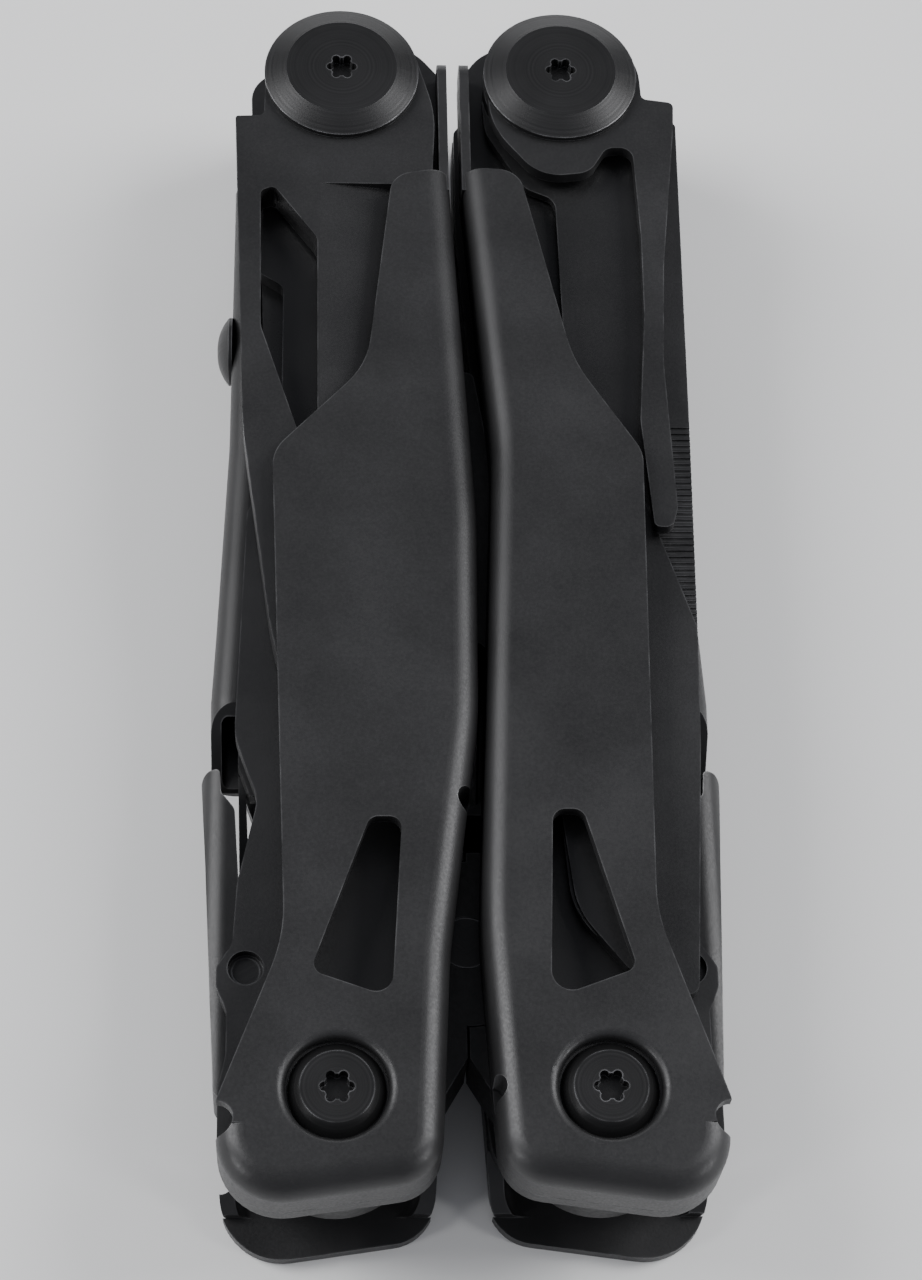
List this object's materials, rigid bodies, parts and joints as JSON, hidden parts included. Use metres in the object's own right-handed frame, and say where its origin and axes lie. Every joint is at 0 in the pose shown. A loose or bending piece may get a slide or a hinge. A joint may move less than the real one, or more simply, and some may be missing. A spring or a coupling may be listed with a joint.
{
  "type": "multi tool",
  "caption": "Folding plier multi tool, closed: two sheet-steel handles with outer blades, inner tools in their channels and needle-nose pliers folded between them.",
  "frame": {"origin": "centre of the bounding box in X and Y, on the back covers' plane in Z", "axes": "+X across the two handles (right handle at +X), +Y along them towards the tool pivots, +Z out of the front covers"},
  "size_m": [0.0438, 0.1142, 0.0194],
  "materials": {
    "cover_steel": "satin black oxide, fine bead-blasted grain",
    "liner_steel": "black oxide over brushed sheet",
    "bolt_steel": "turned and blackened, semi-bright",
    "spine_steel": "black oxide, tumbled",
    "blade_steel": "black oxide over ground steel",
    "tool_steel": "black oxide over ground steel",
    "plier_steel": "blackened investment-cast steel",
    "bronze": "phosphor bronze washer"
  },
  "bodies": {
    "pliers": {"right_plier_jaw": "plier_steel", "right_cutter_insert": "plier_steel", "right_cutter_screw": "bolt_steel", "plier_pivot_pin": "bolt_steel"},
    "plier_half": {"left_plier_jaw": "plier_steel", "left_cutter_insert": "plier_steel", "left_cutter_screw": "bolt_steel"},
    "left_handle": {"front_left_cover": "cover_steel", "back_left_cover": "cover_steel", "front_left_liner": "liner_steel", "back_left_liner": "liner_steel", "left_tool_bolt": "bolt_steel", "left_tool_nut": "bolt_steel", "left_tool_washers": "bronze", "left_arm_screw": "bolt_steel", "left_arm_nut": "bolt_steel", "left_arm_spacers": "liner_steel", "left_spine_bar": "spine_steel", "left_lock_spring": "spine_steel", "left_rocker_pin": "bolt_steel", "left_spine_rivet": "bolt_steel"},
    "right_handle": {"front_right_cover": "cover_steel", "back_right_cover": "cover_steel", "front_right_liner": "liner_steel", "back_right_liner": "liner_steel", "right_tool_bolt": "bolt_steel", "right_tool_nut": "bolt_steel", "right_tool_washers": "bronze", "right_arm_screw": "bolt_steel", "right_arm_nut": "bolt_steel", "right_arm_spacers": "liner_steel", "right_spine_bar": "spine_steel", "right_lock_spring": "spine_steel", "right_rocker_pin": "bolt_steel"},
    "left_rocker": {"left_rocker": "spine_steel"},
    "right_rocker": {"right_rocker": "spine_steel"},
    "knife": {"knife": "blade_steel"},
    "serrated_blade": {"serrated_blade": "blade_steel"},
    "file_tool": {"file_holder": "blade_steel", "file_blade": "blade_steel"},
    "file_lever": {"file_lever": "blade_steel"},
    "saw": {"saw": "blade_steel"},
    "large_screwdriver": {"large_screwdriver": "tool_steel"},
    "can_opener": {"can_opener": "tool_steel"},
    "awl": {"awl": "tool_steel"},
    "bit_driver": {"bit_driver": "tool_steel"},
    "bottle_opener": {"bottle_opener": "tool_steel"},
    "small_screwdriver": {"small_screwdriver": "tool_steel"}
  },
  "joints": [
    {"name": "left_handle_swing", "type": "hinge", "parent": "pliers", "child": "left_handle", "pos_m": [-0.0107, -0.0485, 0.0097], "axis": [0, 0, 1], "range_deg": [0, 180]},
    {"name": "jaw_spread", "type": "hinge", "parent": "pliers", "child": "plier_half", "pos_m": [0, -0.034, 0.0097], "axis": [0, 0, 1], "range_deg": [0, 30]},
    {"name": "right_handle_swing", "type": "hinge", "parent": "plier_half", "child": "right_handle", "pos_m": [0.0107, -0.0485, 0.0097], "axis": [0, 0, -1], "range_deg": [0, 180]},
    {"name": "knife_swing", "type": "hinge", "parent": "left_handle", "child": "knife", "pos_m": [-0.01015, 0.05003, 0.0097], "axis": [0, 0, -1], "range_deg": [0, 180]},
    {"name": "serrated_blade_swing", "type": "hinge", "parent": "left_handle", "child": "serrated_blade", "pos_m": [-0.01015, 0.05003, 0.0097], "axis": [0, 0, -1], "range_deg": [0, 180]},
    {"name": "file_swing", "type": "hinge", "parent": "right_handle", "child": "file_tool", "pos_m": [0.01015, 0.05003, 0.0097], "axis": [0, 0, 1], "range_deg": [0, 180]},
    {"name": "file_lever_release", "type": "hinge", "parent": "file_tool", "child": "file_lever", "pos_m": [0.01015, 0.05003, 0.0097], "axis": [0, 0, -1], "range_deg": [-20, 0]},
    {"name": "saw_swing", "type": "hinge", "parent": "right_handle", "child": "saw", "pos_m": [0.01015, 0.05003, 0.0097], "axis": [0, 0, 1], "range_deg": [0, 180]},
    {"name": "left_rocker_press", "type": "hinge", "parent": "left_handle", "child": "left_rocker", "pos_m": [-0.018, -0.0368, 0.0097], "axis": [0, 0, 1], "range_deg": [0, 3]},
    {"name": "right_rocker_press", "type": "hinge", "parent": "right_handle", "child": "right_rocker", "pos_m": [0.018, -0.0368, 0.0097], "axis": [0, 0, -1], "range_deg": [0, 3]},
    {"name": "large_screwdriver_swing", "type": "hinge", "parent": "left_handle", "child": "large_screwdriver", "pos_m": [-0.01015, 0.05003, 0.0097], "axis": [0, 0, 1], "range_deg": [0, 180]},
    {"name": "can_opener_swing", "type": "hinge", "parent": "left_handle", "child": "can_opener", "pos_m": [-0.01015, 0.05003, 0.0097], "axis": [0, 0, 1], "range_deg": [0, 180]},
    {"name": "awl_swing", "type": "hinge", "parent": "left_handle", "child": "awl", "pos_m": [-0.01015, 0.05003, 0.0097], "axis": [0, 0, 1], "range_deg": [0, 180]},
    {"name": "bit_driver_swing", "type": "hinge", "parent": "right_handle", "child": "bit_driver", "pos_m": [0.01015, 0.05003, 0.0097], "axis": [0, 0, -1], "range_deg": [0, 180]},
    {"name": "bottle_opener_swing", "type": "hinge", "parent": "right_handle", "child": "bottle_opener", "pos_m": [0.01015, 0.05003, 0.0097], "axis": [0, 0, -1], "range_deg": [0, 180]},
    {"name": "small_screwdriver_swing", "type": "hinge", "parent": "right_handle", "child": "small_screwdriver", "pos_m": [0.01015, 0.05003, 0.0097], "axis": [0, 0, -1], "range_deg": [0, 180]}
  ],
  "couplings": [
    {"joint": "right_handle_swing", "follows": "left_handle_swing", "ratio": 1},
    {"joint": "jaw_spread", "follows": "left_handle_swing", "ratio": 0.15},
    {"joint": "large_screwdriver_swing", "follows": "left_handle_swing", "ratio": 0.4},
    {"joint": "can_opener_swing", "follows": "left_handle_swing", "ratio": 0.26667},
    {"joint": "awl_swing", "follows": "left_handle_swing", "ratio": 0.13333},
    {"joint": "bit_driver_swing", "follows": "left_handle_swing", "ratio": 0.4},
    {"joint": "bottle_opener_swing", "follows": "left_handle_swing", "ratio": 0.26667},
    {"joint": "small_screwdriver_swing", "follows": "left_handle_swing", "ratio": 0.13333}
  ]
}
